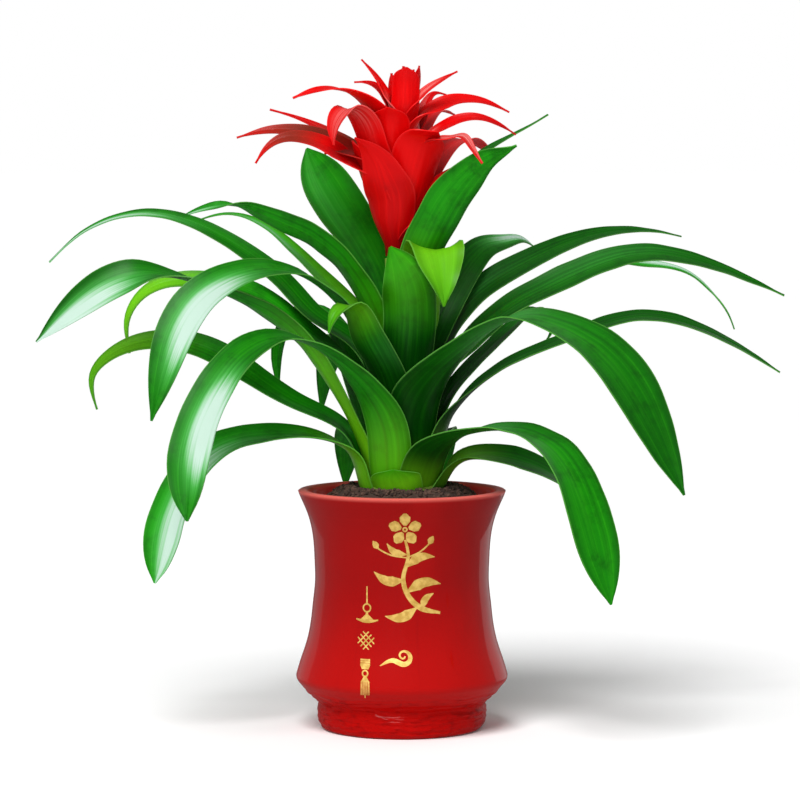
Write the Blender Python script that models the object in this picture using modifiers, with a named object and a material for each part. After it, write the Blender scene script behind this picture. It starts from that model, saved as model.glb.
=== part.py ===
"""A guzmania in flower, growing in a waisted glazed pot.

Every length below is in millimetres, and MM turns it into metres. The origin is on the floor under
the middle of the pot's foot: +X is the right side seen from the front, -Y the front and +Z up.
Facings are compass angles seen from above: 0 is right, 90 back, 180 left and 270 front.
"""

from dataclasses import dataclass
from math import atan2, cos, degrees, radians, sin, tau

import bmesh
import bpy
import numpy as np
from mathutils import Matrix, Vector

MM = 0.001

# Pot: radius and height down its outer side, from the lip to the foot
POT_OUTSIDE = [
    (70, 161), (67.6, 155), (63.8, 146), (60.2, 131), (58.9, 112), (58.7, 100), (60, 87), (61.3, 75),
    (64.4, 59), (68.7, 46), (71.5, 36), (70.3, 32.5), (64, 25), (56.8, 18.5), (56.5, 17), (57.3, 14),
    (56.8, 6), (54.5, 1.5), (52, 0),
]
POT_HEIGHT = 162
POT_WALL = 7
POT_FLOOR = 20
POT_SEGMENTS = 40
GAP = 0.35

# Soil: radius and height of its mounded top, out to the pot's wall
SOIL_TOP = [(28.5, 161), (37, 164), (44, 161.5), (50, 156.5), (56, 150)]
SOIL_HOLE_BOTTOM = 132

# Crown: the short thick stem that the leaves stand round
CROWN_RADIUS = 28
CROWN_SHOULDER = 161.5
CROWN_TOP = (8.5, 187)

# Leaf bases stand in rings on the crown's cone, the outermost ring first
RING_RADIUS = 28
RING_STEP_IN = 1.55
RING_HEIGHT = 163
RING_STEP_UP = 2.1
TIP_HALF_WIDTH = 0.7
WAVE_LENGTH = 34

# Flower stalk and the core of the flower head, which lean a little to the left and back
STALK_BOTTOM = (0, 0, 187.8)
STALK_TOP = (-4.5, 0, 317.5)
STALK_RADIUS = 7
HEAD_BOTTOM = (-4.5, 0, 318.5)
HEAD_TOP = (2, 0, 443)
HEAD_CORE = [(3, 125), (8, 112), (12.5, 84), (13, 60), (11, 32), (6.5, 0)]


@dataclass
class Growth:
    """How one kind of blade is built: its axis, widening, wrapping, thickness and grid."""

    foot: tuple
    top: tuple
    sheath_length: float
    wrap: tuple
    thickness: float
    across: int
    station: float

    def axis(self, height):
        """The point of the growth's own axis at a height."""
        low, high = Vector(self.foot), Vector(self.top)
        return low + (high - low) * ((height - low.z) / (high.z - low.z))


LEAF_GROWTH = Growth((0, 0, 0), (0, 0, 450), 90, (32, 75), 0.9, 4, 20)
BRACT_GROWTH = Growth(HEAD_BOTTOM, HEAD_TOP, 32, (15, 38), 1.0, 2, 13)


@dataclass
class Blade:
    """A leaf or bract: its midrib's path beyond the base, and its widths and bends."""

    name: str
    ring: float
    facing: float
    sheath: float
    width: float
    path: list
    heading: float = None
    turning: tuple = (0.08, 0.48)
    roll: tuple = (0, 0)
    taper: tuple = (0.5, 2.0)
    wave: float = 0.0


LEAVES = [
    Blade("cut_leaf_base", 0, 263, 36, 39, [
        (-5, -32, 171), (-6, -35.5, 178),
    ], heading=263, taper=(0.35, 3)),
    Blade("leaf_low_left", 0, 200, 26, 29, [
        (-34, -12, 186), (-56, -18, 198), (-91, -26, 200), (-121, -32, 193), (-151, -38, 158),
        (-164, -42, 103),
    ], roll=(-25, -60), taper=(0.75, 3.5)),
    Blade("leaf_low_right", 0, 345, 29, 24, [
        (41, 0, 181), (66, 10, 183), (101, 20, 171), (135, 26, 144),
    ], roll=(35, 35)),
    Blade("leaf_back_low_right", 0, 55, 29, 28, [
        (16, 38, 184), (22, 66, 196), (26, 102, 186), (26, 124, 146),
    ]),
    Blade("leaf_back_low_left", 0, 125, 29, 28, [
        (-18, 38, 186), (-26, 70, 198), (-36, 106, 187), (-40, 128, 150),
    ]),
    Blade("leaf_low_front", 1, 298, 34, 35, [
        (20, -32, 188), (45, -45, 203), (71, -57, 206), (100, -78, 194), (121.5, -98, 150), (135, -108, 97),
    ], roll=(5, 35), taper=(0.75, 2.4)),
    Blade("leaf_hooked_left", 1, 168, 32, 20, [
        (-38, 5, 200), (-69, 8, 218), (-103, 12, 239), (-133, 15, 256), (-171, 18, 261),
        (-195, 20, 253), (-210, 21, 237), (-207, 22, 214),
    ], roll=(-50, -55), taper=(0.5, 1.7)),
    Blade("leaf_back_low", 1, 88, 32, 32, [
        (1, 40, 190), (2, 75, 212), (3, 120, 205), (4, 150, 165),
    ]),
    Blade("leaf_arched_left", 2, 251, 31, 31, [
        (-11, -35, 206), (-32, -49, 241), (-54, -58, 259), (-74, -65, 267), (-97, -77, 262),
        (-117, -90, 242), (-137, -106, 192), (-138, -116, 152),
    ], roll=(-10, -40), taper=(0.8, 3)),
    Blade("leaf_long_right", 2, 341, 32, 24, [
        (30, -11, 205), (43, -6, 224), (69, 2, 244), (111, 9, 262), (160, 18, 277), (208, 22, 267),
        (257, 26, 239),
    ], roll=(10, 35), taper=(0.5, 1.6)),
    Blade("leaf_back_left", 2, 128, 32, 28, [
        (-18, 29, 200), (-28, 68, 248), (-42, 112, 258), (-54, 150, 232), (-58, 166, 200),
    ]),
    Blade("leaf_arched_right", 3, 292, 34, 43, [
        (7, -29, 207), (12, -34, 225), (39, -46, 257), (72, -62, 279), (99, -84, 277), (128, -98, 261),
        (162, -112, 211), (181, -118, 169),
    ], roll=(5, 40), taper=(0.7, 1.8)),
    Blade("leaf_short_right", 3, 22, 22, 18, [
        (27, 12, 215), (54, 26, 250), (80, 45, 274), (95, 60, 281), (104, 66, 269), (99, 68, 257),
    ]),
    Blade("leaf_drooped_left", 3, 144, 24, 20, [
        (-27, 18, 212), (-36, 25, 245), (-50, 33, 276), (-66, 38, 283), (-80, 41, 270), (-84, 44, 224),
    ], roll=(-25, 50)),
    Blade("leaf_long_left", 4, 209, 22, 26, [
        (-31.5, -12.5, 203), (-50, -19, 238), (-71, -24, 267), (-95, -21, 284), (-122, -18, 296),
        (-175, -14, 307), (-244, -18, 262),
    ], heading=240, roll=(-20, -40), taper=(0.75, 2.2)),
    Blade("leaf_back_right", 4, 88, 22, 28, [
        (4, 30, 210), (11, 70, 250), (20, 112, 260), (26, 148, 233), (27, 162, 195),
    ]),
    Blade("leaf_folded_front", 5, 257, 32, 28, [
        (-5, -26, 215), (-13, -36, 247), (-24, -43, 269), (-35, -48, 288), (-43, -54, 284),
        (-48, -57, 270),
    ], heading=240, taper=(0.6, 1.6)),
    Blade("leaf_upper_right", 5, 350, 32, 26, [
        (24, -3.5, 215), (38, 4, 250), (69, 12, 281), (105, 22, 300), (160, 35, 319), (213, 47, 311),
        (263, 58, 290),
    ], roll=(30, 40), taper=(0.5, 1.6)),
    Blade("leaf_back_high", 5, 105, 30, 30, [
        (-5, 23, 215), (-9, 62, 280), (-12, 115, 308), (-15, 160, 290), (-17, 185, 245),
    ]),
    Blade("leaf_shining_left", 7, 228, 28, 31, [
        (-12.5, -16.5, 215), (-24, -24, 258), (-42, -23, 287), (-67, -31, 307), (-92, -48, 311),
        (-134, -66, 292), (-156, -78, 244), (-163, -82, 214),
    ], roll=(-10, -65), taper=(0.7, 2.4)),
    Blade("leaf_pale_right", 6, 48, 18, 13, [
        (13.4, 15.8, 215), (50, 48, 258), (90, 78, 292), (139, 100, 313), (167, 108, 311), (201, 110, 304),
        (218, 112, 290), (231, 112, 272), (234, 112, 264),
    ], roll=(35, 50), taper=(0.4, 1.5)),
    Blade("leaf_slim_left", 6, 180, 26, 18, [
        (-23, 1, 215), (-42, 10, 250), (-69, 16, 272), (-95, 20, 291), (-137, 24, 302), (-171, 26, 296),
        (-186, 26, 277), (-185, 26, 252),
    ], roll=(-30, -60), taper=(0.55, 1.8)),
    Blade("leaf_slim_right", 7, 40, 28, 22, [
        (15, 12, 222), (20, 18, 245), (33, 28, 272), (53, 38, 294), (81, 54, 311), (118, 76, 327),
        (153, 100, 334), (178, 114, 333), (197, 122, 329),
    ], roll=(30, 30), taper=(0.5, 1.4)),
    Blade("leaf_front_upright", 8, 275, 30, 38, [
        (2, -19, 223), (4, -25, 256), (5, -30, 291), (0, -36, 311), (-8, -39, 326),
    ], heading=272, taper=(0.72, 2.2), wave=2.0),
    Blade("leaf_longest_left", 8, 170, 26, 22, [
        (-18, 3, 225), (-34, 12, 262), (-59, 18, 278), (-79, 22, 299), (-108, 28, 322), (-132, 34, 336),
        (-175, 42, 347), (-221, 50, 332), (-242, 54, 313),
    ], roll=(-35, -35), taper=(0.3, 1.2)),
    Blade("leaf_upper_left", 9, 215, 17, 30, [
        (-12.5, -9, 235), (-17, -10, 268), (-29, -9, 298), (-45, -5, 320), (-62, 4, 333),
        (-83, 18, 342), (-107, 34, 351), (-128, 44, 352), (-154, 54, 343),
    ], heading=235, roll=(-20, -30), taper=(0.35, 1.3)),
    Blade("leaf_curled_right", 9, 54, 21, 27, [
        (11.5, 12.5, 235), (22, 19, 272), (36, 32, 300), (46, 42, 314), (56, 54, 323), (72, 72, 327),
        (83, 84, 328), (94, 96, 321),
    ], roll=(45, 45), taper=(0.5, 1.6)),
    Blade("leaf_flap_front", 10, 292, 26, 40, [
        (6, -13, 236), (11, -18.5, 285), (19.5, -22, 319), (22.5, -31, 324), (26, -43, 309),
        (28, -46, 287),
    ], heading=286, taper=(0.75, 1.6), wave=2.2),
    Blade("leaf_pale_left", 10, 132, 17, 18, [
        (-10, 10.4, 238), (-25, 24, 273), (-54, 40, 303), (-77, 50, 325), (-101, 58, 342),
        (-122, 64, 346), (-142, 68, 341),
    ], roll=(-20, -20), taper=(0.4, 1.3)),
    Blade("leaf_upright_right", 11, 292, 20, 31, [
        (4.5, -11.5, 263), (8, -15, 303), (18, -18, 331), (34, -20, 360), (55, -22, 382),
        (76, -24, 393),
    ], heading=285, taper=(0.72, 1.9), wave=1.0),
    Blade("leaf_upright_left", 11, 126, 20, 37, [
        (-6.5, 9.5, 250), (-10, 13, 285), (-22, 23, 318), (-39, 32, 346), (-53, 38, 369),
        (-65, 42, 391),
    ], heading=105, turning=(0.45, 0.8), taper=(0.75, 4)),
    Blade("leaf_upright_back", 12, 32, 14, 16, [
        (8.2, 4.3, 270), (11, 6.5, 297), (17, 17, 325), (33, 26, 363), (56, 36, 389), (81, 46, 403),
        (100, 54, 414),
    ], heading=60, taper=(0.4, 1.3)),
]

# Bracts: here ring is the height of the base up the head's core
BRACTS = [
    Blade("front_long", 2, 262, 14, 36, [
        (-8, -14, 340), (-8, -20, 356), (-12, -26, 370), (-16, -30, 381), (-23, -34, 391),
        (-31, -38, 398),
    ], heading=262, taper=(0.45, 1.5)),
    Blade("front_left_arch", 50, 250, 22, 24, [
        (-9, -15, 400), (-20, -20, 418), (-38, -25, 429), (-54, -29, 430), (-72, -33, 424),
    ], heading=235, turning=(0.3, 0.7), roll=(-10, -25), taper=(0.3, 1.3)),
    Blade("front_dome", 44, 268, 20, 28, [
        (-6, -17, 388), (-8, -21, 402), (-9, -25, 412), (-9.5, -30, 418),
    ], heading=268, taper=(0.72, 2.8)),
    Blade("front_right_arch", 14, 292, 24, 38, [
        (4, -14.5, 355), (8, -17.5, 371), (12, -21, 387), (17, -26, 399), (24, -31, 402),
    ], heading=292, taper=(0.7, 2.6)),
    Blade("right_long", 62, 318, 18, 13, [
        (16, -10, 398), (23, -10, 403), (36, -11, 409.5), (54, -10, 411), (76, -9, 400),
    ], roll=(40, 40), taper=(0.3, 1.3)),
    Blade("right_upper_long", 70, 332, 18, 16, [
        (11, -6, 409), (22, -2, 418), (39, 3, 424), (56, 5, 422), (72, 6, 415),
    ], roll=(40, 40), taper=(0.3, 1.3)),
    Blade("right_upper_short", 84, 315, 16, 13, [
        (11, -9, 423), (22, -11, 434), (37, -12, 442),
    ], roll=(35, 35), taper=(0.3, 1.3)),
    Blade("left_upper_long", 84, 232, 16, 13, [
        (-10, -10, 425), (-17, -11, 438), (-27, -11, 450),
    ], roll=(-35, -35), taper=(0.3, 1.3)),
    Blade("left_upper_short", 84, 190, 14, 11, [
        (-11, -1, 425), (-20, 0, 434), (-32, 0, 435),
    ], roll=(-35, -35), taper=(0.3, 1.3)),
    Blade("left_long", 38, 215, 22, 19, [
        (-23, -11, 382), (-45, -13, 394), (-68, -14, 402), (-89, -14, 403), (-110, -14, 398),
    ], roll=(-50, -45), taper=(0.35, 1.3)),
    Blade("left_hooked", 32, 236, 20, 19, [
        (-33, -18, 381), (-58, -22, 396), (-78, -24, 398), (-89, -26, 392), (-97, -27, 381),
    ], roll=(-45, -45), taper=(0.35, 1.4)),
    Blade("left_thin", 42, 160, 14, 11, [
        (-24, 8, 386), (-45, 12, 400), (-69, 15, 411), (-89, 16, 417),
    ], roll=(-35, -35), taper=(0.3, 1.3)),
    Blade("left_looped", 44, 246, 20, 24, [
        (-19, -20, 390), (-28, -25, 412), (-36, -29, 417), (-44, -34, 409), (-45, -38, 393),
    ], heading=235, taper=(0.5, 1.8)),
    Blade("right_low_strip", 3, 318, 12, 22, [
        (6, -8, 335), (16, -8, 353), (29, -7, 369), (46, -5, 382),
    ], roll=(45, 60), taper=(0.5, 1.5)),
    Blade("right_mid_curl", 48, 305, 14, 14, [
        (15, -15, 391), (22, -21, 397), (31, -25, 397.5), (40, -29, 399), (46, -32, 392),
        (53, -37, 381),
    ], roll=(10, 30), taper=(0.4, 1.4)),
    Blade("back_right_curl", 78, 30, 14, 10, [
        (16, 14, 421), (22, 18, 428), (30, 21, 427),
    ], roll=(30, 30), taper=(0.3, 1.5)),
    Blade("top_front", 84, 268, 22, 20, [
        (2, -12.5, 420), (2.5, -11, 435), (3, -11.5, 445),
    ], heading=268, taper=(0.8, 2.2)),
    Blade("top_left", 92, 200, 16, 13, [
        (-6.5, -4, 427), (-7, -5, 441),
    ], heading=225, taper=(0.5, 1.6)),
    Blade("top_right", 92, 335, 14, 12, [
        (9, -4, 430), (11.5, -5.5, 446),
    ], heading=315, taper=(0.5, 1.6)),
    Blade("top_back", 98, 90, 16, 14, [(1, 9, 431), (1, 11, 446)], heading=90, taper=(0.5, 1.6)),
    Blade("back_low_right", 20, 50, 22, 24, [(18, 24, 372), (32, 44, 392), (48, 64, 396), (64, 82, 384)]),
    Blade("back_low", 26, 92, 22, 26, [(-2, 26, 378), (-4, 48, 396), (-6, 72, 398), (-8, 92, 384)]),
    Blade("back_low_left", 22, 135, 22, 24, [
        (-18, 24, 374), (-30, 44, 392), (-42, 64, 396), (-54, 82, 386),
    ]),
    Blade("back_mid_right", 54, 62, 20, 20, [
        (12, 22, 402), (24, 42, 416), (36, 60, 414),
    ], taper=(0.35, 1.5)),
    Blade("back_mid_left", 58, 118, 20, 20, [
        (-10, 22, 404), (-20, 42, 418), (-30, 60, 414),
    ], taper=(0.35, 1.5)),
    Blade("back_top", 82, 80, 16, 14, [(3, 14, 424), (6, 24, 438), (8, 34, 444)], taper=(0.35, 1.5)),
    Blade("front_low_left", 14, 228, 16, 26, [(-18, -14, 358), (-25, -19, 380), (-33, -22, 396)]),
]


def clear_scene():
    for thing in list(bpy.data.objects):
        bpy.data.objects.remove(thing, do_unlink=True)


def new_collection(name):
    collection = bpy.data.collections.new(name)
    bpy.context.scene.collection.children.link(collection)
    return collection


def material(name, colour, roughness):
    made = bpy.data.materials.new(name)
    made.use_nodes = True
    shader = made.node_tree.nodes["Principled BSDF"]
    shader.inputs["Base Color"].default_value = (*colour, 1)
    shader.inputs["Roughness"].default_value = roughness
    return made


def compass(facing):
    """The level unit vector towards a facing in degrees."""
    return Vector((cos(radians(facing)), sin(radians(facing)), 0))


def ease(x):
    """0 to 1 with level ends."""
    x = min(max(x, 0), 1)
    return x * x * (3 - 2 * x)


def turned(name, outline, finish, collection, lean=0):
    """A solid of revolution from an outline of (radius, height) that ends on the axis at both ends."""
    mesh = bpy.data.meshes.new(name)
    solid = bpy.data.objects.new(name, mesh)
    collection.objects.link(solid)
    points = [(radius * MM, 0, height * MM) for radius, height in outline]
    mesh.from_pydata(points, [(i, i + 1) for i in range(len(points) - 1)], [])
    screw = solid.modifiers.new("turn", "SCREW")
    screw.steps = POT_SEGMENTS
    screw.render_steps = POT_SEGMENTS
    screw.use_merge_vertices = True
    screw.merge_threshold = 0.0001
    screw.use_smooth_shade = True
    solid.rotation_euler.y = lean
    mesh.materials.append(finish)
    return solid


def inner_wall(heights):
    """Radii and heights of the pot's inner wall, a wall's thickness inside its outer side."""
    outer = sorted((height, radius) for radius, height in POT_OUTSIDE)
    radii = np.interp(heights, [p[0] for p in outer], [p[1] for p in outer])
    return [(float(radius) - POT_WALL, height) for radius, height in zip(radii, heights)]


def make_pot(finish, collection):
    inside = inner_wall([30, 36, 47, 60, 75, 94, 112, 131, 146, 155])
    floor = [(0, POT_FLOOR), (52, POT_FLOOR), (58, 24)]
    lip = [(61.4, 158), (62.6, 160.6), (65, POT_HEIGHT), (68, POT_HEIGHT)]
    return turned("pot", floor + inside + lip + POT_OUTSIDE + [(0, 0)], finish, collection)


def make_soil(finish, collection):
    side = [(radius - GAP, height) for radius, height in inner_wall([146, 131, 112, 94, 75, 60, 47, 36, 30])]
    bed = [(58 - GAP, 24 + GAP), (52 - GAP, POT_FLOOR + GAP), (0, POT_FLOOR + GAP)]
    hole = [(0, SOIL_HOLE_BOTTOM), (SOIL_TOP[0][0], SOIL_HOLE_BOTTOM)]
    return turned("soil", hole + SOIL_TOP + side + bed, finish, collection)


def make_crown(finish, collection):
    bottom = SOIL_HOLE_BOTTOM + GAP
    side = [(CROWN_RADIUS, CROWN_SHOULDER), (CROWN_RADIUS, bottom)]
    return turned("crown_stem", [(0, CROWN_TOP[1]), CROWN_TOP, *side, (0, bottom)], finish, collection)


def make_stalk(finish, collection):
    run = Vector(STALK_TOP) - Vector(STALK_BOTTOM)
    outline = [(0, run.length), (STALK_RADIUS, run.length), (STALK_RADIUS, 0), (0, 0)]
    stalk = turned("flower_stalk", outline, finish, collection, lean=atan2(run.x, run.z))
    stalk.location = Vector(STALK_BOTTOM) * MM
    return stalk


def spline(points, start, count):
    """Evenly stepped points along a smooth curve that leaves the first of points in the start direction."""
    points = np.array(points, float)
    spans = np.linalg.norm(np.diff(points, axis=0), axis=1)
    last = len(points) - 1
    rows = np.zeros((last + 1, last + 1))
    wanted = np.zeros((last + 1, 3))
    rows[0, 0] = 1
    wanted[0] = start
    for i in range(1, last):
        before, after = spans[i - 1], spans[i]
        rows[i, i - 1 : i + 2] = after, 2 * (before + after), before
        wanted[i] = 3 * (
            after * (points[i] - points[i - 1]) / before + before * (points[i + 1] - points[i]) / after
        )
    rows[last, last - 1 : last + 1] = 1, 2
    wanted[last] = 3 * (points[last] - points[last - 1]) / spans[-1]
    slopes = np.linalg.solve(rows, wanted)
    ends = np.concatenate([[0], np.cumsum(spans)])
    curve = []
    for distance in np.linspace(0, ends[-1], count):
        i = min(int(np.searchsorted(ends, distance, side="right")) - 1, last - 1)
        t = (distance - ends[i]) / spans[i]
        curve.append(
            (2 * t**3 - 3 * t**2 + 1) * points[i]
            + (t**3 - 2 * t**2 + t) * spans[i] * slopes[i]
            + (3 * t**2 - 2 * t**3) * points[i + 1]
            + (t**3 - t**2) * spans[i] * slopes[i + 1]
        )
    return [Vector(point) for point in curve]


def half_width(blade, blend, t):
    """Half the blade's width at the fraction t of its length, where its sheath has blended in so far."""
    broad = blade.sheath / 2 * (1 - blend) + blade.width / 2 * blend
    start, power = blade.taper
    narrowing = max(0, (t - start) / (1 - start))
    return max(broad * (1 - narrowing**power), TIP_HALF_WIDTH)


def blade_surface(blade, base, growth):
    """An open grid bent to the blade's surface, in metres.

    Its section is an arc: round the growth's axis while the midrib is nearer to it than the first wrap
    distance, and a shallow channel beyond the second one.
    """
    first_rise = Vector(blade.path[0]) - Vector(base)
    lean = min(max(first_rise.xy.length / first_rise.z, 0), 0.6)
    start = compass(blade.facing) * lean + Vector((0, 0, 1))
    rough = (Vector(blade.path[-1]) - Vector(base)).length + 20
    rows = max(5, round(rough / growth.station) + 1)
    centre = spline([base, *blade.path], start, rows)
    lengths = [0]
    for a, b in zip(centre, centre[1:]):
        lengths.append(lengths[-1] + (b - a).length)
    away = centre[-1] - centre[0]
    heading = blade.heading
    if heading is None:
        heading = degrees(atan2(away.y, away.x))
    first, last = blade.turning
    grid = bmesh.new()
    bmesh.ops.create_grid(grid, x_segments=growth.across, y_segments=rows - 1, size=1)
    for vertex in grid.verts:
        side = vertex.co.x
        row = round((vertex.co.y + 1) / 2 * (rows - 1))
        t = lengths[row] / lengths[-1]
        ahead = centre[min(row + 1, rows - 1)] - centre[row - 1] if row else start
        ahead = ahead.normalized()
        out = centre[row] - growth.axis(centre[row].z)
        bearing = degrees(atan2(out.y, out.x))
        turn = (heading - bearing + 180) % 360 - 180
        level = compass(bearing + turn * ease((t - first) / (last - first)) + 90)
        broad = (level - ahead * level.dot(ahead)).normalized()
        roll = radians(float(np.interp(t, (first, (first + last) / 2 + 0.2, 1), (0, *blade.roll))))
        broad = Matrix.Rotation(roll, 3, ahead) @ broad
        inward = ahead.cross(broad)
        widened = ease(lengths[row] / growth.sheath_length)
        half = half_width(blade, widened, t)
        reach = out.xy.length
        near, far = growth.wrap
        flattened = ease((reach - near) / (far - near))
        bend = half / reach * (1 - flattened) + (0.5 - 0.35 * t) * flattened
        radius = half / bend
        rise = radius * (1 - cos(bend * side))
        rise += blade.wave * side * side * sin(tau * lengths[row] / WAVE_LENGTH) * widened
        place = centre[row] + broad * radius * sin(bend * side) + inward * rise
        vertex.co = place * MM
    bmesh.ops.triangulate(grid, faces=grid.faces)
    return grid


def blade_object(name, grid, thickness, finish, collection):
    """The grid as a solid of even thickness."""
    mesh = bpy.data.meshes.new(name)
    grid.to_mesh(mesh)
    grid.free()
    mesh.shade_smooth()
    mesh.materials.append(finish)
    solid = bpy.data.objects.new(name, mesh)
    collection.objects.link(solid)
    skin = solid.modifiers.new("thickness", "SOLIDIFY")
    skin.thickness = thickness * MM
    skin.offset = 0
    return solid


def make_leaf(leaf, finish, collection):
    radius = RING_RADIUS - RING_STEP_IN * leaf.ring
    base = compass(leaf.facing) * radius
    base.z = RING_HEIGHT + RING_STEP_UP * leaf.ring
    grid = blade_surface(leaf, base, LEAF_GROWTH)
    return blade_object(leaf.name, grid, LEAF_GROWTH.thickness, finish, collection)


def core_radius(height):
    """The flower head core's radius at a height above its bottom."""
    outline = HEAD_CORE[::-1]
    return float(np.interp(height, [h for _, h in outline], [r for r, _ in outline]))


def keep_outer_skin(mesh):
    """Fill the small hollows that fusing sealed: only the largest connected shell of the mesh stays."""
    whole = bmesh.new()
    whole.from_mesh(mesh)
    unseen = set(whole.faces)
    shells = []
    while unseen:
        shell = {unseen.pop()}
        edge_of_shell = list(shell)
        while edge_of_shell:
            face = edge_of_shell.pop()
            beside = {other for edge in face.edges for other in edge.link_faces} & unseen
            unseen -= beside
            shell |= beside
            edge_of_shell.extend(beside)
        shells.append(shell)
    largest = max(shells, key=len)
    bmesh.ops.delete(whole, geom=[face for face in whole.faces if face not in largest], context="FACES")
    whole.to_mesh(mesh)
    whole.free()


def make_flower_head(finish, collection, pieces):
    """The core with its bracts joined on, as one solid."""
    run = Vector(HEAD_TOP) - Vector(HEAD_BOTTOM)
    outline = [(0, HEAD_CORE[0][1] + 1), *HEAD_CORE, (0, 0)]
    head = turned("flower_head", outline, finish, collection, lean=atan2(run.x, run.z))
    head.modifiers["turn"].steps = head.modifiers["turn"].render_steps = 14
    head.location = Vector(HEAD_BOTTOM) * MM
    for bract in BRACTS:
        radius = core_radius(bract.ring)
        base = Vector(HEAD_BOTTOM) + run * (bract.ring / run.length) + compass(bract.facing) * radius * 0.75
        grid = blade_surface(bract, base, BRACT_GROWTH)
        blade_object(f"bract_{bract.name}", grid, BRACT_GROWTH.thickness, finish, pieces)
    union = head.modifiers.new("bracts", "BOOLEAN")
    union.operand_type = "COLLECTION"
    union.collection = pieces
    union.operation = "UNION"
    union.solver = "MANIFOLD"
    bpy.context.view_layer.update()
    fused = bpy.data.meshes.new_from_object(head.evaluated_get(bpy.context.evaluated_depsgraph_get()))
    head.modifiers.clear()
    head.data = fused
    fused.name = "flower_head"
    keep_outer_skin(fused)
    for piece in list(pieces.objects):
        bpy.data.objects.remove(piece, do_unlink=True)
    bpy.data.collections.remove(pieces)
    return head


def main():
    clear_scene()
    plant = new_collection("potted_guzmania")
    pieces = new_collection("bracts_to_join")
    glaze = material("red_glaze", (0.45, 0.01, 0.012), 0.12)
    earth = material("soil", (0.06, 0.035, 0.025), 0.95)
    leaf_green = material("leaf", (0.02, 0.22, 0.01), 0.3)
    pale_green = material("stem", (0.25, 0.4, 0.06), 0.5)
    red = material("bract", (0.7, 0.006, 0.008), 0.35)
    make_pot(glaze, plant)
    make_soil(earth, plant)
    make_crown(pale_green, plant)
    make_stalk(pale_green, plant)
    for leaf in LEAVES:
        make_leaf(leaf, leaf_green, plant)
    make_flower_head(red, plant, pieces)


main()
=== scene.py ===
"""A red guzmania in flower in a glazed pot, with its finished surfaces.

Lengths in the tables are in millimetres and MM turns them into metres. +X is the right side seen from
the front, -Y the front and +Z up. Facings are compass angles seen from above: 0 right, 90 back,
180 left and 270 front.
"""

from dataclasses import dataclass
from math import atan2, ceil, cos, degrees, exp, pi, radians, sin, tau
from random import Random

import bmesh
import bpy
import numpy as np
from mathutils import Euler, Matrix, Vector, noise


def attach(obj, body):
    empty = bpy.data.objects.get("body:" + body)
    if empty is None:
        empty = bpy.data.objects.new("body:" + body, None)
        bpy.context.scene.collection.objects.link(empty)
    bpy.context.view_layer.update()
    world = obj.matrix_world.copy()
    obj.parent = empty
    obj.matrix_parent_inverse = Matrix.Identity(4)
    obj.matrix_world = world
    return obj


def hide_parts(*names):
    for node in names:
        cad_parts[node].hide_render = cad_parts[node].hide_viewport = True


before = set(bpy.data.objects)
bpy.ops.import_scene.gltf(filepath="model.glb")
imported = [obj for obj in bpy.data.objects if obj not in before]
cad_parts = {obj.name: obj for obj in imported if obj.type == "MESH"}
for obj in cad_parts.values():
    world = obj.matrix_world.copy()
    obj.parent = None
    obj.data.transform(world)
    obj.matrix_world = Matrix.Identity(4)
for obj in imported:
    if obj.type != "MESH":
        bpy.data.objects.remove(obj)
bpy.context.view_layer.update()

MM = 0.001

# Pot: radius and height down its outer side, from the lip to the foot
BODY_OUTSIDE = [
    (70, 161), (67.6, 155), (63.8, 146), (60.2, 131), (58.9, 112), (58.7, 100), (60, 87), (61.3, 75),
    (64.4, 59), (68.7, 46), (71.2, 37.5),
]
SHOULDER = [(71.5, 36), (71.2, 34.2), (70.3, 32.5)]
TAPER = [(64, 25), (56.8, 18.5)]
FOOT = [(56.5, 17), (57.3, 14), (56.8, 6), (54.5, 1.5), (52, 0)]
LIP = [(61.4, 158), (62.2, 160.2), (64.5, 161.8), (67, 162), (69, 161.7)]
POT_WALL = 7
POT_FLOOR = 20
FLOOR_CORNER = (58, 24)
INSIDE_HEIGHTS = (30, 36, 47, 60, 75, 94, 112, 131, 146)
POT_SEGMENTS = 160
RIPPLE_TOP = 31
RIPPLE_PITCH = 3.6
RIPPLE_DEPTH = 0.4

# Soil: radius and height of its mounded top, out to the pot's wall. It is rough above a height in metres,
# and its loose crumbs lie between two radii
SOIL_TOP = [(28.5, 161), (37, 164), (44, 161.5), (50, 156.5), (56, 150)]
SOIL_HOLE_BOTTOM = 132
SOIL_GAP = 0.35
SOIL_ROUGH_FROM = 0.154
SOIL_ROUGHNESS = 0.7
CRUMBS = 1500
CRUMB_SPAN = (28.5, 57)

# Leaf bases stand in rings on the crown's cone, the outermost ring first
RING_RADIUS = 28
RING_STEP_IN = 1.55
RING_HEIGHT = 163
RING_STEP_UP = 2.1
TIP_HALF_WIDTH = 0.7
WAVE_LENGTH = 34

# The flower head's core, which leans a little to the right
HEAD_BOTTOM = (-4.5, 0, 318.5)
HEAD_TOP = (2, 0, 443)
HEAD_CORE = [(3, 125), (8, 112), (12.5, 84), (13, 60), (11, 32), (6.5, 0)]

# Gold ornaments: how far round the pot the pendant hangs, the height of the knot below it, how proud the
# gold stands of the glaze, and how far each further layer stands over the last
PENDANT_ACROSS = -23.7
KNOT_HEIGHT = 67
GOLD_PROUD = 0.08
GOLD_LAYER = 0.012

# Camera: its place, what it looks at, and its lens
CAMERA_PLACE = (-1.3, -2400, 390)
CAMERA_TARGET = (-1.3, 0, 222)
CAMERA_LENS = 160.87

# Studio: half the floor's width in metres, and the strengths of the room's light and the white behind
FLOOR_REACH = 60
ROOM_LIGHT = 0.28
BACKDROP_LIGHT = 1.0


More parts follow.
